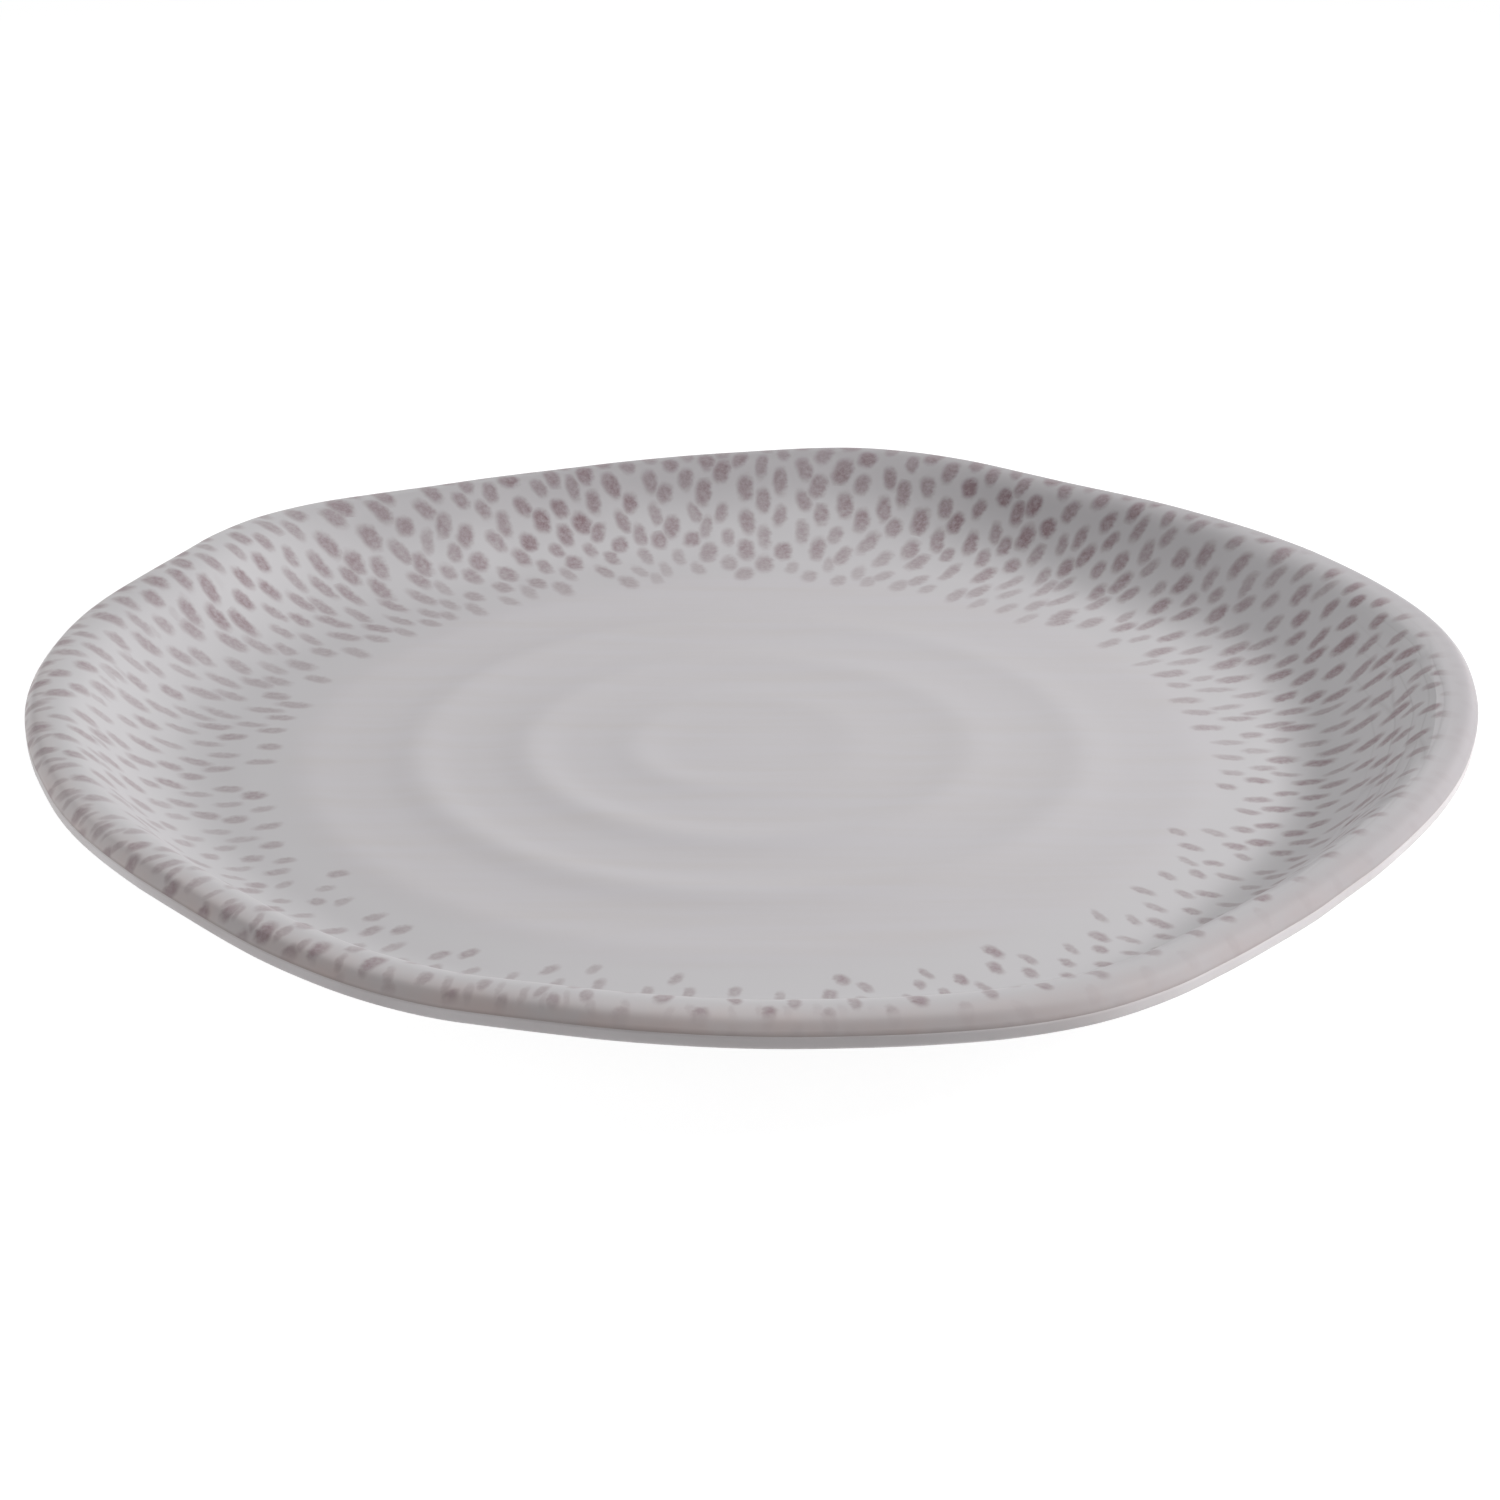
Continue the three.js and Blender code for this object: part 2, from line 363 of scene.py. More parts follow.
scene.view_settings.view_transform = "Standard"
print("camera set")

noiseSpan = (0.35, 0.65)  # most of a noise texture's values lie between these

# glazed printed melamine: a pale paper print with brush dabs, sealed under clear resin; the eye sees soft
# mauve marks just below a smooth, slightly uneven gloss
# sizes are in mm; a value that swings round the plate has a mean, a swing and the turn where it is largest
printLook = {
    "floorTone": "#c2bfc2",
    "streakTone": "#beb9b8",  # warm brush streaks across the floor
    "streakSize": (70, 5),  # along x and across
    "streaks": (0.4, 0.75, 0.6),  # noise where a streak begins and where it is full, and its strength
    "rimTone": "#c1bfc1",
    "rimBorder": (89, 99),  # from the middle, where the floor's tone turns to the rim's
    "borderStray": 10,  # how far that border wanders
    "patchSize": 38,
    "patchInk": (0.8, 1.05),  # faint and full patches of the print
    "dabTone": "#857075",
    "firstRow": 91,  # along the face from the middle
    "rowPitch": 4.5,
    "rowStart": (2, 2.4, 0.62),  # how much further out the rows begin
    "innerRows": 16,  # stretch with wider rows
    "innerDensity": (0.84, 0.2, 0.75),  # of those against the others
    "dabsInRow": 84,
    "lipRow": (3.6, 12),  # from the parting line, and the stretch that is searched for its dabs
    "dabsOnLip": 184,
    "lipDab": (0.5, 0.74),  # width and length against the dabs of the wall
    "lipRowInk": (-0.5, 1.25, 0.6),
    "swaySize": 32,
    "sway": (7, 8),  # how far columns and rows wander, sideways and outwards
    "halfWidth": (1.4, 1.55),  # where a dab has half its strength, first row and last row
    "halfLength": (2.3, 2.8),
    "lengthening": (5, 15),  # beyond the first row, where dabs grow to their full length
    "size": (0.95, 0.16, 0.25),  # how large a dab is
    "slender": (0.99, 0.1, 0.36),  # how wide it is for its length
    "vary": (0.34, 0.4),  # by what share dabs differ in width and in length
    "bluntness": 0.4,  # from an oval to a brush's square end
    "softEdge": (0.55, 1.4),  # share of the half size where a dab begins to fade, and where it ends
    "faintest": 0.65,
    "scatter": 2.2,  # how far a dab strays from its place
    "tilt": 0.6,  # radians, how far it strays from pointing outwards
    "secondThrow": (0.3, 0.7, 5.1),  # shifts the dice for a dab's size and strength
    "gaps": (1.1, 0.75, 0.3),  # a set's first row: weight of the dice, below what a dab stays, more per set
    "smearSize": 2.2,
    "smear": 1.3,  # how far the dabs' edges are dragged
    "grainSize": 1.1,  # dry and wet ink within a dab
    "grain": (0.3, 0.68),  # noise where it is dry and where it is wet
    "grainInk": (0.6, 1.05),
    "ink": (0.92, 0.2, 0.12),  # strength of the dabs
    "firstInk": (0.82, 0.24, 0.66),  # of the first row against the others
    "firstInkFade": 20,
    "lipInk": (1.05, 0.4, 0.62),  # of the lip against the wall
    "lipInkBand": (9, 3),  # from the parting line
    "bareRim": (2.6, 4.6, 0.97),  # without dabs at the edge
    "bareFade": 1.5,
    "bareInk": 0.12,
    "edges": (  # tones that set in towards the parting line, one over the other
        {"tone": "#c3b3b0", "width": 8, "strength": (0.26, 0.4, 0.7), "blotchy": True},  # warm brown
        {"tone": "#938e92", "width": 12, "strength": (0.28, 0.58, 0.08), "blotchy": False},  # mauve wash of the print, deepened as painted shade on the lip towards the right and back
        {"tone": "#84736f", "width": 0.6, "strength": (0.24, 0.22, 0.58), "blotchy": False},  # print ends
    ),
    "blotchSize": 11,
    "blotches": (0.5, 1.2),
    "paintedShadeTone": "#c3bfc1",  # painted shade, darker over ground and dabs below the lip at the back
    "paintedShadeBand": (23, 7),  # from the parting line
    "shade": (-0.75, 1.32, 0.235),
    "wrinkleSize": (36, 4),  # round and across, where the foil creased towards the front right
    "wrinkleDepth": 0.22,
    "wrinkleFacet": 0.4,  # share of the spacing that bends at a crease
    "creaseShadeLine": (0.08, 0.3),  # painted shade along each crease: width as a share of the spacing, and strength
    # tone of the painted shade along each crease
    "creaseShadeTone": "#8a8486",
    "wrinkles": (-2.6, 3.6, 0.93),
    "wrinkleBand": (26, 20, 9, 6),  # from the parting line, fading in and out
    "peelSize": 7,  # slow unevenness of the pressed glaze
    "peelDepth": 0.05,
    "peelStrength": 0.2,
    "paper": (0.5, 0.2),  # roughness and specular level under the glaze
    "glaze": (0.5, 0.38, 1.5),  # coat weight, roughness and IOR of melamine resin
}


# a value that swings once round the plate
def roundPlate(tree, turn, meanSwingPeak):
    mean, swing, peak = meanSwingPeak
    angle = addNode(tree, "Math", {"operation": "MULTIPLY_ADD"}, {0: turn, 1: fullTurn, 2: -fullTurn * peak})
    wave = addNode(tree, "Math", {"operation": "COSINE"}, {0: angle})
    return addNode(tree, "Math", {"operation": "MULTIPLY_ADD"}, {0: wave, 1: swing, 2: mean})


# where a point of the print is: its turn round the plate, mm out along the face and mm in space
def placeOnPrint(tree):
    look = printLook
    uv = addNode(tree, "UVMap", {"uv_map": "roundAndOut"}, {})
    uv = addNode(tree, "SeparateXYZ", {}, {0: uv})
    out = addNode(tree, "Math", {"operation": "MULTIPLY"}, {0: uv.outputs["Y"], 1: faceLength})
    spot = addNode(tree, "TexCoord", {}, {}).outputs["Object"]
    spot = addNode(tree, "VectorMath", {"operation": "SCALE"}, {0: spot, "Scale": 1 / mm})
    flat = addNode(tree, "VectorMath", {"operation": "MULTIPLY"}, {0: spot, 1: (1, 1, 0)})
    radius = addNode(tree, "VectorMath", {"operation": "LENGTH"}, {0: flat}).outputs["Value"]
    patch = addNode(tree, "TexNoise", {}, {"Vector": spot, "Scale": 1 / look["patchSize"], "Detail": 2})
    sway = addNode(tree, "TexNoise", {}, {"Vector": spot, "Scale": 1 / look["swaySize"], "Detail": 1})
    return {"turn": uv.outputs["X"], "out": out, "spot": spot, "radius": radius,
            "patch": patch, "sway": sway.outputs["Color"]}


# turn and mm out as the rows of dabs have them: they wander, and the inner rows lie further apart
def alongRows(tree, place):
    look = printLook
    swayed = addNode(tree, "SeparateXYZ", {}, {0: place["sway"]})
    sideways, outwards = look["sway"]
    sideways /= fullTurn * crestRadius
    turn = addNode(tree, "Math", {"operation": "MULTIPLY_ADD"},
                   {0: swayed.outputs["X"], 1: sideways, 2: place["turn"]})
    out = addNode(tree, "Math", {"operation": "MULTIPLY_ADD"},
                  {0: swayed.outputs["Y"], 1: outwards, 2: place["out"]})
    out = addNode(tree, "Math", {"operation": "SUBTRACT"}, {0: out, 1: outwards / 2})
    start = roundPlate(tree, place["turn"], look["rowStart"])
    out = addNode(tree, "Math", {"operation": "SUBTRACT"}, {0: out, 1: start})
    inner = addNode(tree, "Math", {"operation": "SUBTRACT"}, {0: out, 1: look["firstRow"]})
    beyond = addNode(tree, "Math", {"operation": "SUBTRACT"}, {0: inner, 1: look["innerRows"]})
    beyond = addNode(tree, "Math", {"operation": "MAXIMUM"}, {0: beyond, 1: 0})
    inner = addNode(tree, "Math", {"operation": "MINIMUM"}, {0: inner, 1: look["innerRows"]})
    dense = roundPlate(tree, place["turn"], look["innerDensity"])
    out = addNode(tree, "Math", {"operation": "MULTIPLY_ADD"}, {0: inner, 1: dense, 2: beyond})
    return turn, addNode(tree, "Math", {"operation": "ADD"}, {0: out, 1: look["firstRow"]})


# half width and half length of a dab at its place
def dabSize(tree, rows, turn, out, dice):
    look = printLook
    firstWidth, lastWidth = [half * rows["dab"][0] for half in look["halfWidth"]]
    firstLength, fullLength = [half * rows["dab"][1] for half in look["halfLength"]]
    growFrom, growTo = [look["firstRow"] + beyond for beyond in look["lengthening"]]
    halfWidth = addNode(tree, "MapRange", {},
                        {0: out, 1: look["firstRow"], 2: faceLength, 3: firstWidth, 4: lastWidth})
    halfLength = addNode(tree, "MapRange", {},
                         {0: out, 1: growFrom, 2: growTo, 3: firstLength, 4: fullLength})
    slender = roundPlate(tree, turn, look["slender"])
    halfWidth = addNode(tree, "Math", {"operation": "MULTIPLY"}, {0: halfWidth, 1: slender})
    size = addNode(tree, "CombineXYZ", {}, {0: halfWidth, 1: halfLength, 2: 1})
    size = addNode(tree, "VectorMath", {"operation": "SCALE"}, {0: size, "Scale": rows["grown"]})
    wide, long = look["vary"]
    vary = addNode(tree, "VectorMath", {"operation": "MULTIPLY_ADD"},
                   {0: dice.outputs["Color"], 1: (wide, long, 0), 2: (1 - wide / 2, 1 - long / 2, 1)})
    return addNode(tree, "VectorMath", {"operation": "MULTIPLY"}, {0: size, 1: vary})


# one set of rows of dabs; each dab has room to overlap the rows of the other sets
def dabRows(tree, rows, turn, out, radius, smear):
    look = printLook
    pitch, count, layer = rows["pitch"], rows["count"], rows["layer"]

    # row and column of the dab, and mm from the middle of its place
    band = addNode(tree, "Math", {"operation": "MULTIPLY_ADD"},
                   {0: out, 1: 1 / pitch, 2: 0.5 - rows["start"] / pitch})
    row = addNode(tree, "Math", {"operation": "FLOOR"}, {0: band})
    outwards = addNode(tree, "Math", {"operation": "FRACT"}, {0: band})
    outwards = addNode(tree, "Math", {"operation": "MULTIPLY_ADD"}, {0: outwards, 1: pitch, 2: -pitch / 2})
    cell = addNode(tree, "Math", {"operation": "MULTIPLY_ADD"}, {0: turn, 1: count, 2: 0.5 * layer})
    column = addNode(tree, "Math", {"operation": "FLOOR"}, {0: cell})
    column = addNode(tree, "Math", {"operation": "FLOORED_MODULO"}, {0: column, 1: count})
    room = addNode(tree, "Math", {"operation": "DIVIDE"}, {0: radius, 1: count})
    sideways = addNode(tree, "Math", {"operation": "FRACT"}, {0: cell})
    sideways = addNode(tree, "Math", {"operation": "MULTIPLY_ADD"}, {0: sideways, 1: fullTurn, 2: -math.pi})
    sideways = addNode(tree, "Math", {"operation": "MULTIPLY"}, {0: sideways, 1: room})
    at = addNode(tree, "CombineXYZ", {}, {0: sideways, 1: outwards, 2: 0})

    # it strays, its edge is dragged, and it tilts
    seed = addNode(tree, "CombineXYZ", {}, {0: column, 1: row, 2: layer})
    dice = addNode(tree, "TexWhiteNoise", {"noise_dimensions": "3D"}, {"Vector": seed})
    seed = addNode(tree, "VectorMath", {"operation": "ADD"}, {0: seed, 1: look["secondThrow"]})
    more = addNode(tree, "TexWhiteNoise", {"noise_dimensions": "3D"}, {"Vector": seed})
    stray, drag = look["scatter"], look["smear"]
    at = addNode(tree, "VectorMath", {"operation": "MULTIPLY_ADD"},
                 {0: dice.outputs["Color"], 1: (stray, stray, 0), 2: at})
    at = addNode(tree, "VectorMath", {"operation": "MULTIPLY_ADD"},
                 {0: smear.outputs["Color"], 1: (drag, drag, 0), 2: at})
    back = stray / 2 + drag / 2
    at = addNode(tree, "VectorMath", {"operation": "SUBTRACT"}, {0: at, 1: (back, back, 0)})
    tilt = addNode(tree, "Math", {"operation": "MULTIPLY_ADD"},
                   {0: dice.outputs["Value"], 1: look["tilt"], 2: -look["tilt"] / 2})
    at = addNode(tree, "VectorRotate", {"rotation_type": "Z_AXIS"}, {"Vector": at, "Angle": tilt})

    # between an oval and a blunt stroke, soft at the edge
    size = dabSize(tree, rows, turn, out, more)
    at = addNode(tree, "VectorMath", {"operation": "DIVIDE"}, {0: at, 1: size})
    oval = addNode(tree, "VectorMath", {"operation": "LENGTH"}, {0: at}).outputs["Value"]
    at = addNode(tree, "VectorMath", {"operation": "ABSOLUTE"}, {0: at})
    blunt = addNode(tree, "VectorMath", {"operation": "MULTIPLY"}, {0: at, 1: at})
    blunt = addNode(tree, "VectorMath", {"operation": "DOT_PRODUCT"}, {0: blunt, 1: at}).outputs["Value"]
    blunt = addNode(tree, "Math", {"operation": "POWER"}, {0: blunt, 1: 1 / 3})
    away = addNode(tree, "Mix", {}, {0: look["bluntness"], 2: oval, 3: blunt})
    fadeFrom, fadeTo = look["softEdge"]
    dab = addNode(tree, "MapRange", {"interpolation_type": "SMOOTHSTEP"},
                  {0: away, 1: fadeFrom, 2: fadeTo, 3: 1, 4: 0})
    strong = addNode(tree, "MapRange", {}, {0: more.outputs["Value"], 1: 0, 2: 1, 3: look["faintest"], 4: 1})
    dab = addNode(tree, "Math", {"operation": "MULTIPLY"}, {0: dab, 1: strong})
    luck, kept, keptMore = look["gaps"]
    begun = addNode(tree, "Math", {"operation": "MULTIPLY_ADD"}, {0: dice.outputs["Value"], 1: -luck, 2: row})
    begun = addNode(tree, "Math", {"operation": "GREATER_THAN"}, {0: begun, 1: -kept - keptMore * layer})
    return addNode(tree, "Math", {"operation": "MULTIPLY"}, {0: dab, 1: begun})


# strength of the dabs at a point: two sets of rows on the wall and one row on the lip
def dabInk(tree, place):
    look = printLook
    turn, out, spot = place["turn"], place["out"], place["spot"]
    smear = addNode(tree, "TexNoise", {},
                    {"Vector": spot, "Scale": 1 / look["smearSize"], "Detail": 2, "Roughness": 0.6})
    rowTurn, rowOut = alongRows(tree, place)
    first, pitch = look["firstRow"], look["rowPitch"]
    wall = {"pitch": 2 * pitch, "count": look["dabsInRow"], "dab": (1, 1),
            "grown": roundPlate(tree, turn, look["size"])}
    even = dabRows(tree, {**wall, "start": first, "layer": 0}, rowTurn, rowOut, place["radius"], smear)
    odd = dabRows(tree, {**wall, "start": first + pitch, "layer": 1}, rowTurn, rowOut, place["radius"], smear)
    lipInset, stretch = look["lipRow"]
    lip = {"pitch": stretch, "count": look["dabsOnLip"], "dab": look["lipDab"], "grown": 1,
           "start": faceLength - lipInset, "layer": 3}
    onLip = dabRows(tree, lip, rowTurn, out, place["radius"], smear)
    onLip = addNode(tree, "Math", {"operation": "MULTIPLY"},
                    {0: onLip, 1: roundPlate(tree, turn, look["lipRowInk"])})
    dabs = addNode(tree, "Math", {"operation": "MAXIMUM"}, {0: even, 1: odd})
    dabs = addNode(tree, "Math", {"operation": "MAXIMUM"}, {0: dabs, 1: onLip})

    grain = addNode(tree, "TexNoise", {},
                    {"Vector": spot, "Scale": 1 / look["grainSize"], "Detail": 3, "Roughness": 0.65})
    dry, wet = look["grain"]
    dryInk, wetInk = look["grainInk"]
    mottle = addNode(tree, "MapRange", {}, {0: grain, 1: dry, 2: wet, 3: dryInk, 4: wetInk})
    low, high = noiseSpan
    faint, full = look["patchInk"]
    fade = addNode(tree, "MapRange", {}, {0: place["patch"], 1: low, 2: high, 3: faint, 4: full})
    firstInk = addNode(tree, "MapRange", {}, {0: rowOut, 1: first, 2: first + look["firstInkFade"],
                                              3: roundPlate(tree, turn, look["firstInk"]), 4: 1})
    lipFrom, lipTo = [faceLength - inset for inset in look["lipInkBand"]]
    lipInk = addNode(tree, "MapRange", {}, {0: out, 1: lipFrom, 2: lipTo,
                                            3: 1, 4: roundPlate(tree, turn, look["lipInk"])})
    ink = roundPlate(tree, turn, look["ink"])
    toEdge = addNode(tree, "Math", {"operation": "SUBTRACT"}, {0: faceLength, 1: out})
    toEdge = addNode(tree, "Math", {"operation": "SUBTRACT"},
                     {0: toEdge, 1: roundPlate(tree, turn, look["bareRim"])})
    bareFade = look["bareFade"]
    printed = addNode(tree, "MapRange", {"interpolation_type": "SMOOTHSTEP"},
                      {0: toEdge, 1: -bareFade, 2: bareFade, 3: look["bareInk"], 4: 1})
    for share in (mottle, fade, firstInk, lipInk, ink, printed):
        dabs = addNode(tree, "Math", {"operation": "MULTIPLY"}, {0: dabs, 1: share})
    return dabs


# tone of the paper: streaked floor, plain rim, and the tones that set in towards the edge, one of them partly
# painted shade
def groundTone(tree, place):
    look = printLook
    long, fine = look["streakSize"]
    streaks = addNode(tree, "VectorMath", {"operation": "MULTIPLY"},
                      {0: place["spot"], 1: (1 / long, 1 / fine, 1 / fine)})
    streaks = addNode(tree, "TexNoise", {}, {"Vector": streaks, "Scale": 1, "Detail": 4, "Roughness": 0.6})
    begin, full, strength = look["streaks"]
    streaks = addNode(tree, "MapRange", {}, {0: streaks, 1: begin, 2: full, 3: 0, 4: strength})
    ground = addNode(tree, "Mix", {"data_type": "RGBA"},
                     {0: streaks, 6: linear(look["floorTone"]), 7: linear(look["streakTone"])})
    floorEnd, rimStart = look["rimBorder"]
    border = addNode(tree, "Math", {"operation": "MULTIPLY_ADD"},
                     {0: place["patch"], 1: look["borderStray"], 2: place["out"]})
    border = addNode(tree, "MapRange", {"interpolation_type": "SMOOTHSTEP"},
                     {0: border, 1: floorEnd, 2: rimStart, 3: 0, 4: 1})
    ground = addNode(tree, "Mix", {"data_type": "RGBA"},
                     {0: border, 6: ground.outputs[2], 7: linear(look["rimTone"])})
    blotch = addNode(tree, "TexNoise", {}, {"Vector": place["spot"], "Scale": 1 / look["blotchSize"],
                                            "Detail": 3, "Roughness": 0.6})
    low, high = noiseSpan
    thin, thick = look["blotches"]
    blotch = addNode(tree, "MapRange", {}, {0: blotch, 1: low, 2: high, 3: thin, 4: thick})
    for rim in look["edges"]:
        mask = addNode(tree, "MapRange", {"interpolation_type": "SMOOTHSTEP"},
                       {0: place["out"], 1: faceLength - rim["width"], 2: faceLength,
                        3: 0, 4: roundPlate(tree, place["turn"], rim["strength"])})
        if rim["blotchy"]:
            mask = addNode(tree, "Math", {"operation": "MULTIPLY"}, {0: mask, 1: blotch})
        ground = addNode(tree, "Mix", {"data_type": "RGBA"},
                         {0: mask, 6: ground.outputs[2], 7: linear(rim["tone"])})
    return ground


# facets where the foil creased in the mould, and a thin dark line painted as shade along each crease
def wrinkles(tree, place):
    look = printLook
    long, across = look["wrinkleSize"]
    turn = addNode(tree, "Math", {"operation": "ADD"}, {0: place["turn"], 1: 0.5})
    turn = addNode(tree, "Math", {"operation": "FRACT"}, {0: turn})  # keeps its seam away from the creases
    at = addNode(tree, "CombineXYZ", {}, {0: turn, 1: place["out"], 2: 0})
    at = addNode(tree, "VectorMath", {"operation": "MULTIPLY"},
                 {0: at, 1: (fullTurn * crestRadius / long, 1 / across, 0)})
    at = addNode(tree, "VectorMath", {"operation": "ADD"}, {0: at, 1: place["sway"]})
    fromLine = addNode(tree, "TexVoronoi", {"voronoi_dimensions": "2D", "feature": "DISTANCE_TO_EDGE"},
                       {"Vector": at, "Scale": 1}).outputs["Distance"]
    where = addNode(tree, "MapRange", {},
                    {0: roundPlate(tree, place["turn"], look["wrinkles"]), 1: 0, 2: 1, 3: 0, 4: 1})
    inFrom, inTo, outFrom, outTo = [faceLength - inset for inset in look["wrinkleBand"]]
    fadeIn = addNode(tree, "MapRange", {}, {0: place["out"], 1: inFrom, 2: inTo, 3: 0, 4: where})
    shown = addNode(tree, "MapRange", {}, {0: place["out"], 1: outFrom, 2: outTo, 3: fadeIn, 4: 0})
    width, strength = look["creaseShadeLine"]
    facets = addNode(tree, "MapRange", {}, {0: fromLine, 1: 0, 2: look["wrinkleFacet"], 3: shown, 4: 0})
    creaseShadeLines = addNode(tree, "MapRange", {}, {0: fromLine, 1: 0, 2: width, 3: shown, 4: 0})
    return facets, addNode(tree, "Math", {"operation": "MULTIPLY"}, {0: creaseShadeLines, 1: strength})


def paintPrint(piece):
    look = printLook
    material, tree = newMaterial("glazedMelaminePrint")
    place = placeOnPrint(tree)
    colour = groundTone(tree, place)
    colour = addNode(tree, "Mix", {"data_type": "RGBA"},
                     {0: dabInk(tree, place), 6: colour.outputs[2], 7: linear(look["dabTone"])})
    # painted shade below the lip at the back, darkening ground and dabs alike
    paintedShadeFrom, paintedShadeTo = [faceLength - inset for inset in look["paintedShadeBand"]]
    shade = addNode(tree, "MapRange", {"interpolation_type": "SMOOTHSTEP"},
                    {0: place["out"], 1: paintedShadeFrom, 2: paintedShadeTo,
                     3: 0, 4: roundPlate(tree, place["turn"], look["shade"])})
    colour = addNode(tree, "Mix", {"data_type": "RGBA", "blend_type": "MULTIPLY"},
                     {0: shade, 6: colour.outputs[2], 7: linear(look["paintedShadeTone"])})
    facets, creaseShadeLines = wrinkles(tree, place)
    # a thin dark line painted as shade along each crease
    colour = addNode(tree, "Mix", {"data_type": "RGBA"},
                     {0: creaseShadeLines, 6: colour.outputs[2], 7: linear(look["creaseShadeTone"])})
    creased = addNode(tree, "Bump", {"invert": True},
                      {"Strength": 1, "Distance": look["wrinkleDepth"] * mm, "Height": facets})
    peel = addNode(tree, "TexNoise", {},
                   {"Vector": place["spot"], "Scale": 1 / look["peelSize"], "Detail": 2})
    uneven = addNode(tree, "Bump", {}, {"Strength": look["peelStrength"], "Distance": look["peelDepth"] * mm,
                                        "Height": peel, "Normal": creased})
    paperRoughness, paperSpecular = look["paper"]
    coat, coatRoughness, coatIor = look["glaze"]
    shader = addNode(tree, "BsdfPrincipled", {}, {
        "Base Color": colour.outputs[2], "Normal": creased,
        "Roughness": paperRoughness, "Specular IOR Level": paperSpecular,
        "Coat Weight": coat, "Coat Roughness": coatRoughness, "Coat IOR": coatIor, "Coat Normal": uneven})
    addNode(tree, "OutputMaterial", {}, {"Surface": shader})
    piece.data.materials.append(material)


paintPrint(printedFace)

# moulded melamine: white powder pressed hot in a polished steel mould; the eye sees an even eggshell sheen,
# faintly cloudy, and a dull scuffed ring where the plate stands
bodyLook = {
    "tone": "#d6d1d3",
    "cloudTone": "#cdc7c8",
    "cloudSize": 26,  # mm
    "grainSize": 0.9,  # mm, drawn coarser than the mould's own finish, so that it shows
    "grainDepth": 0.02,
    "grainStrength": 0.3,
    "scuffTone": "#b9b3b1",
    "scuffHeight": (0.1, 0.5),  # mm of the foot ring that touch the table
    "scuffSize": (6, 0.5),  # mm along x and across
    "scuffs": (0.42, 0.62),  # noise where a scuff begins and where it is full
    "scuffStrength": (0.15, 0.8),
    "roughness": (0.38, 0.5),  # clear, and where it is cloudy or scuffed
    "ior": 1.6,
}


def paintBody(piece):
    look = bodyLook
    material, tree = newMaterial("mouldedMelamine")
    spot = addNode(tree, "TexCoord", {}, {}).outputs["Object"]
    spot = addNode(tree, "VectorMath", {"operation": "SCALE"}, {0: spot, "Scale": 1 / mm})  # mm
    low, high = noiseSpan
    cloud = addNode(tree, "TexNoise", {}, {"Vector": spot, "Scale": 1 / look["cloudSize"], "Detail": 3})
    cloud = addNode(tree, "MapRange", {}, {0: cloud, 1: low, 2: high, 3: 0, 4: 1})
    tone = addNode(tree, "Mix", {"data_type": "RGBA"},
                   {0: cloud, 6: linear(look["tone"]), 7: linear(look["cloudTone"])})
    height = addNode(tree, "SeparateXYZ", {}, {0: spot}).outputs["Z"]
    touching, clear = look["scuffHeight"]
    standing = addNode(tree, "MapRange", {}, {0: height, 1: touching, 2: clear, 3: 1, 4: 0})
    wide, fine = look["scuffSize"]
    scratches = addNode(tree, "VectorMath", {"operation": "MULTIPLY"}, {0: spot, 1: (1 / wide, 1 / fine, 1)})
    scratches = addNode(tree, "TexNoise", {}, {"Vector": scratches, "Scale": 1, "Detail": 4})
    begin, full = look["scuffs"]
    least, most = look["scuffStrength"]
    scuffs = addNode(tree, "MapRange", {}, {0: scratches, 1: begin, 2: full, 3: least, 4: most})
    scuffs = addNode(tree, "Math", {"operation": "MULTIPLY"}, {0: scuffs, 1: standing})
    tone = addNode(tree, "Mix", {"data_type": "RGBA"},
                   {0: scuffs, 6: tone.outputs[2], 7: linear(look["scuffTone"])})
    dull = addNode(tree, "Math", {"operation": "MAXIMUM"}, {0: cloud, 1: scuffs})
    smooth, rough = look["roughness"]
    roughness = addNode(tree, "MapRange", {}, {0: dull, 1: 0, 2: 1, 3: smooth, 4: rough})
    grain = addNode(tree, "TexNoise", {}, {"Vector": spot, "Scale": 1 / look["grainSize"], "Detail": 2})
    bump = addNode(tree, "Bump", {}, {"Strength": look["grainStrength"],
                                      "Distance": look["grainDepth"] * mm, "Height": grain})
    shader = addNode(tree, "BsdfPrincipled", {}, {
        "Base Color": tone.outputs[2], "Roughness": roughness, "IOR": look["ior"], "Normal": bump})
    addNode(tree, "OutputMaterial", {}, {"Surface": shader})
    piece.data.materials.append(material)


paintBody(plateBody)
print("materials painted")

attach(printedFace, "root")
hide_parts("printed_foil", "clear_glaze")
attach(plateBody, "root")
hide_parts("moulded_body")

# pale studio table, shown white to the camera with a trace of the plate's shadow; metres and watts
studio = {
    "tableTone": "#f2f2f2",
    "tableHalf": 30,
    "tableDrop": 0.0002,  # just clear of the foot ring
    "whiteShare": (0.78, 1),  # beside the plate, where its shadow falls, and far away
    "whiteLevel": (1.22, 1),
    "nearAndFar": (0.3, 0.9),  # from the plate's middle
    "dome": 0.01,  # light from all round
    "lamps": (  # turn counter-clockwise from +x, and height above the table, in degrees
        {"name": "key", "turn": 1, "height": 29.5, "distance": 1.35,
         "size": (0.5, 0.16), "power": 16.8, "gloss": False},
        {"name": "upperKey", "turn": 3, "height": 48, "distance": 1.6,
         "size": (0.8, 0.6), "power": 4.3, "gloss": True},
        {"name": "overhead", "turn": 90, "height": 82, "distance": 1.4,
         "size": (1.2, 1.2), "power": 3.4, "gloss": True},
        {"name": "fill", "turn": 180, "height": 22, "distance": 2.2,
         "size": (1.5, 0.75), "power": 20.5, "gloss": False},
    ),
}


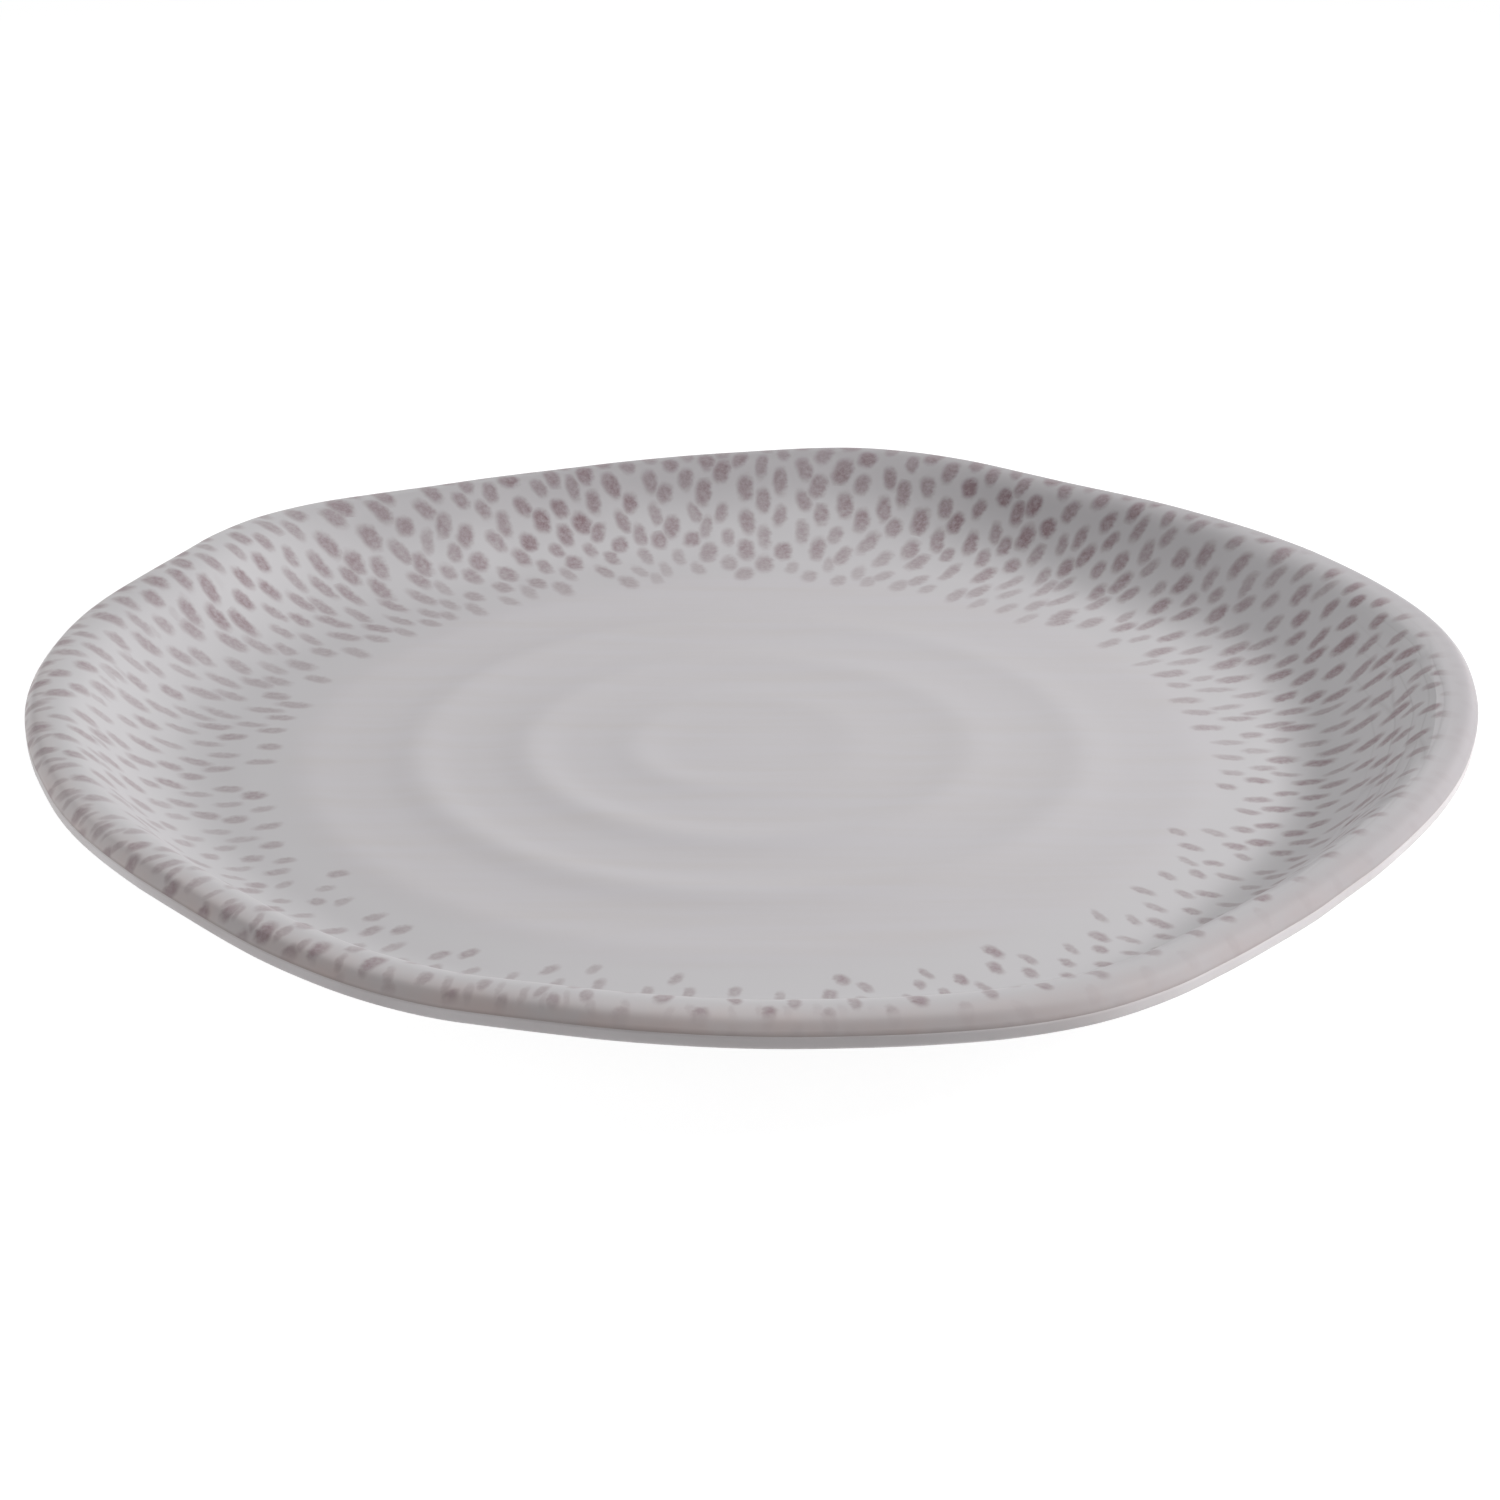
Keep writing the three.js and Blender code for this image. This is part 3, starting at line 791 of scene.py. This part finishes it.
# whether a ray shows the white studio: what the camera sees, and what gloss or glass reflects
def seenRay(tree):
    rays = addNode(tree, "LightPath", {}, {})
    seen = addNode(tree, "Math", {"operation": "MAXIMUM"},
                   {0: rays.outputs["Is Camera Ray"], 1: rays.outputs["Is Glossy Ray"]})
    return addNode(tree, "Math", {"operation": "MAXIMUM"}, {0: seen, 1: rays.outputs["Is Transmission Ray"]})


def makeTable():
    mesh = bpy.data.meshes.new("studioTable")
    half, z = studio["tableHalf"], -studio["tableDrop"]
    corners = [(-half, -half, z), (half, -half, z), (half, half, z), (-half, half, z)]
    mesh.from_pydata(corners, [], [(0, 1, 2, 3)])
    table = bpy.data.objects.new("studioTable", mesh)
    scene.collection.objects.link(table)
    material, tree = newMaterial("paintedTable")
    spot = addNode(tree, "TexCoord", {}, {}).outputs["Object"]
    away = addNode(tree, "VectorMath", {"operation": "LENGTH"}, {0: spot}).outputs["Value"]
    near, far = studio["nearAndFar"]
    shareNear, shareFar = studio["whiteShare"]
    levelNear, levelFar = studio["whiteLevel"]
    share = addNode(tree, "MapRange", {}, {0: away, 1: near, 2: far, 3: shareNear, 4: shareFar})
    level = addNode(tree, "MapRange", {}, {0: away, 1: near, 2: far, 3: levelNear, 4: levelFar})
    share = addNode(tree, "Math", {"operation": "MULTIPLY"}, {0: seenRay(tree), 1: share})
    paint = addNode(tree, "BsdfDiffuse", {}, {"Color": linear(studio["tableTone"])})
    white = addNode(tree, "Emission", {}, {"Color": (1, 1, 1, 1), "Strength": level})
    mixed = addNode(tree, "MixShader", {}, {0: share, 1: paint, 2: white})
    addNode(tree, "OutputMaterial", {}, {"Surface": mixed})
    mesh.materials.append(material)


def lightStudio():
    world = bpy.data.worlds.new("studio")
    scene.world = world
    world.use_nodes = True
    tree = world.node_tree
    tree.nodes.clear()
    level = addNode(tree, "MapRange", {}, {0: seenRay(tree), 1: 0, 2: 1, 3: studio["dome"], 4: 1})
    sky = addNode(tree, "Background", {}, {"Color": (1, 1, 1, 1), "Strength": level})
    addNode(tree, "OutputWorld", {}, {"Surface": sky})
    for lamp in studio["lamps"]:
        data = bpy.data.lights.new(lamp["name"], "AREA")
        data.shape = "RECTANGLE"
        data.size, data.size_y = lamp["size"]
        data.energy = lamp["power"]
        piece = bpy.data.objects.new(lamp["name"], data)
        turn, height = math.radians(lamp["turn"]), math.radians(lamp["height"])
        piece.location = lamp["distance"] * Vector(
            (math.cos(height) * math.cos(turn), math.cos(height) * math.sin(turn), math.sin(height)))
        piece.rotation_euler = (-piece.location).to_track_quat("-Z", "Y").to_euler()
        piece.visible_glossy = lamp["gloss"]  # low lamps would leave a white glare on the glaze
        scene.collection.objects.link(piece)


makeTable()
lightStudio()
print("studio lit")
